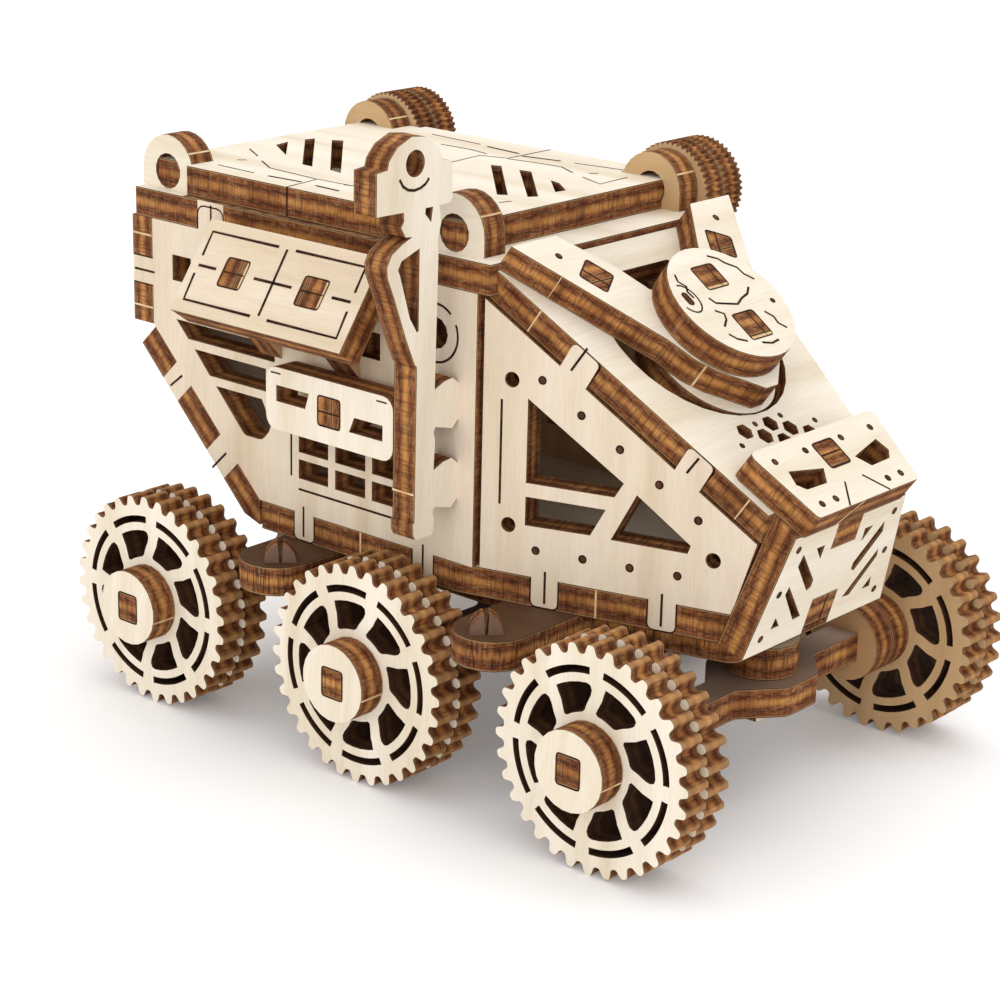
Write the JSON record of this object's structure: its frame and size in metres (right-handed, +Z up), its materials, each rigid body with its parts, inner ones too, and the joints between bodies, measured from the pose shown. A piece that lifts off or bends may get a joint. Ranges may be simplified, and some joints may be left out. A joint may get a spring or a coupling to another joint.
{
  "type": "toy six-wheeled buggy",
  "caption": "Laser-cut plywood construction-kit toy: a boxy rover body with a sloped cab and side panels on toothed wheels that spin on fixed axle beams.",
  "frame": {"origin": "on the ground under the centre of the whole box; the middle axle is 0.66 mm ahead of it", "axes": "+X forward to the sloped cab, +Y to the buggy's left (the side of the two knobs), +Z up"},
  "size_m": [0.1089, 0.078, 0.0853],
  "materials": {
    "birch_ply": "bare birch plywood, laser-browned edges",
    "wheel_ply": "bare birch plywood, laser-browned teeth",
    "cut_edge_ply": "laser-browned plywood end grain"
  },
  "bodies": {
    "buggy": {"axle_beam_front": "birch_ply", "axle_beam_middle": "birch_ply", "axle_beam_rear": "birch_ply", "axle_bosses": "birch_ply", "axle_collars_front": "birch_ply", "axle_collars_middle": "birch_ply", "axle_collars_rear": "birch_ply", "beam_pins": "birch_ply", "cab_side_left": "birch_ply", "cab_side_right": "birch_ply", "chamfer_plate": "birch_ply", "cross_shaft_front": "cut_edge_ply", "cross_shaft_rear": "cut_edge_ply", "ear_clips": "birch_ply", "floor_plate": "birch_ply", "fork_plate": "birch_ply", "globe_disc": "birch_ply", "hub_caps_front": "birch_ply", "hub_caps_middle": "birch_ply", "hub_caps_rear": "birch_ply", "knob_front": "cut_edge_ply", "knob_rear": "cut_edge_ply", "lower_panel_left": "birch_ply", "lower_panel_right": "birch_ply", "lower_post_left": "birch_ply", "lower_post_right": "birch_ply", "mast": "birch_ply", "nose_cap": "birch_ply", "nose_front": "birch_ply", "panel_brackets_left": "birch_ply", "panel_brackets_right": "birch_ply", "rear_wall": "birch_ply", "roof_lower": "birch_ply", "roof_upper_front": "birch_ply", "roof_upper_rear": "birch_ply", "shaft_rings_front": "birch_ply", "shaft_rings_rear": "birch_ply", "side_wall_left": "birch_ply", "side_wall_right": "birch_ply", "slope_pegs": "birch_ply", "tilted_panel_left": "birch_ply", "tilted_panel_right": "birch_ply", "underfloor_plate": "birch_ply", "windshield_plate": "birch_ply"},
    "wheel_rear_right": {"tread_rear_right": "wheel_ply", "tread_inner_rear_right": "wheel_ply"},
    "wheel_rear_left": {"tread_rear_left": "wheel_ply", "tread_inner_rear_left": "wheel_ply"},
    "wheel_middle_right": {"tread_middle_right": "wheel_ply", "tread_inner_middle_right": "wheel_ply"},
    "wheel_middle_left": {"tread_middle_left": "wheel_ply", "tread_inner_middle_left": "wheel_ply"},
    "wheel_front_right": {"tread_front_right": "wheel_ply", "tread_inner_front_right": "wheel_ply"},
    "wheel_front_left": {"tread_front_left": "wheel_ply", "tread_inner_front_left": "wheel_ply"}
  },
  "joints": [
    {"name": "wheel_rear_right_spin", "type": "hinge", "parent": "buggy", "child": "wheel_rear_right", "pos_m": [-0.03834, -0.031, 0.0148], "axis": [0, 1, 0], "continuous": true},
    {"name": "wheel_rear_left_spin", "type": "hinge", "parent": "buggy", "child": "wheel_rear_left", "pos_m": [-0.03834, 0.031, 0.0148], "axis": [0, 1, 0], "continuous": true},
    {"name": "wheel_middle_right_spin", "type": "hinge", "parent": "buggy", "child": "wheel_middle_right", "pos_m": [0.00066, -0.031, 0.0148], "axis": [0, 1, 0], "continuous": true},
    {"name": "wheel_middle_left_spin", "type": "hinge", "parent": "buggy", "child": "wheel_middle_left", "pos_m": [0.00066, 0.031, 0.0148], "axis": [0, 1, 0], "continuous": true},
    {"name": "wheel_front_right_spin", "type": "hinge", "parent": "buggy", "child": "wheel_front_right", "pos_m": [0.03966, -0.031, 0.0148], "axis": [0, 1, 0], "continuous": true},
    {"name": "wheel_front_left_spin", "type": "hinge", "parent": "buggy", "child": "wheel_front_left", "pos_m": [0.03966, 0.031, 0.0148], "axis": [0, 1, 0], "continuous": true}
  ]
}
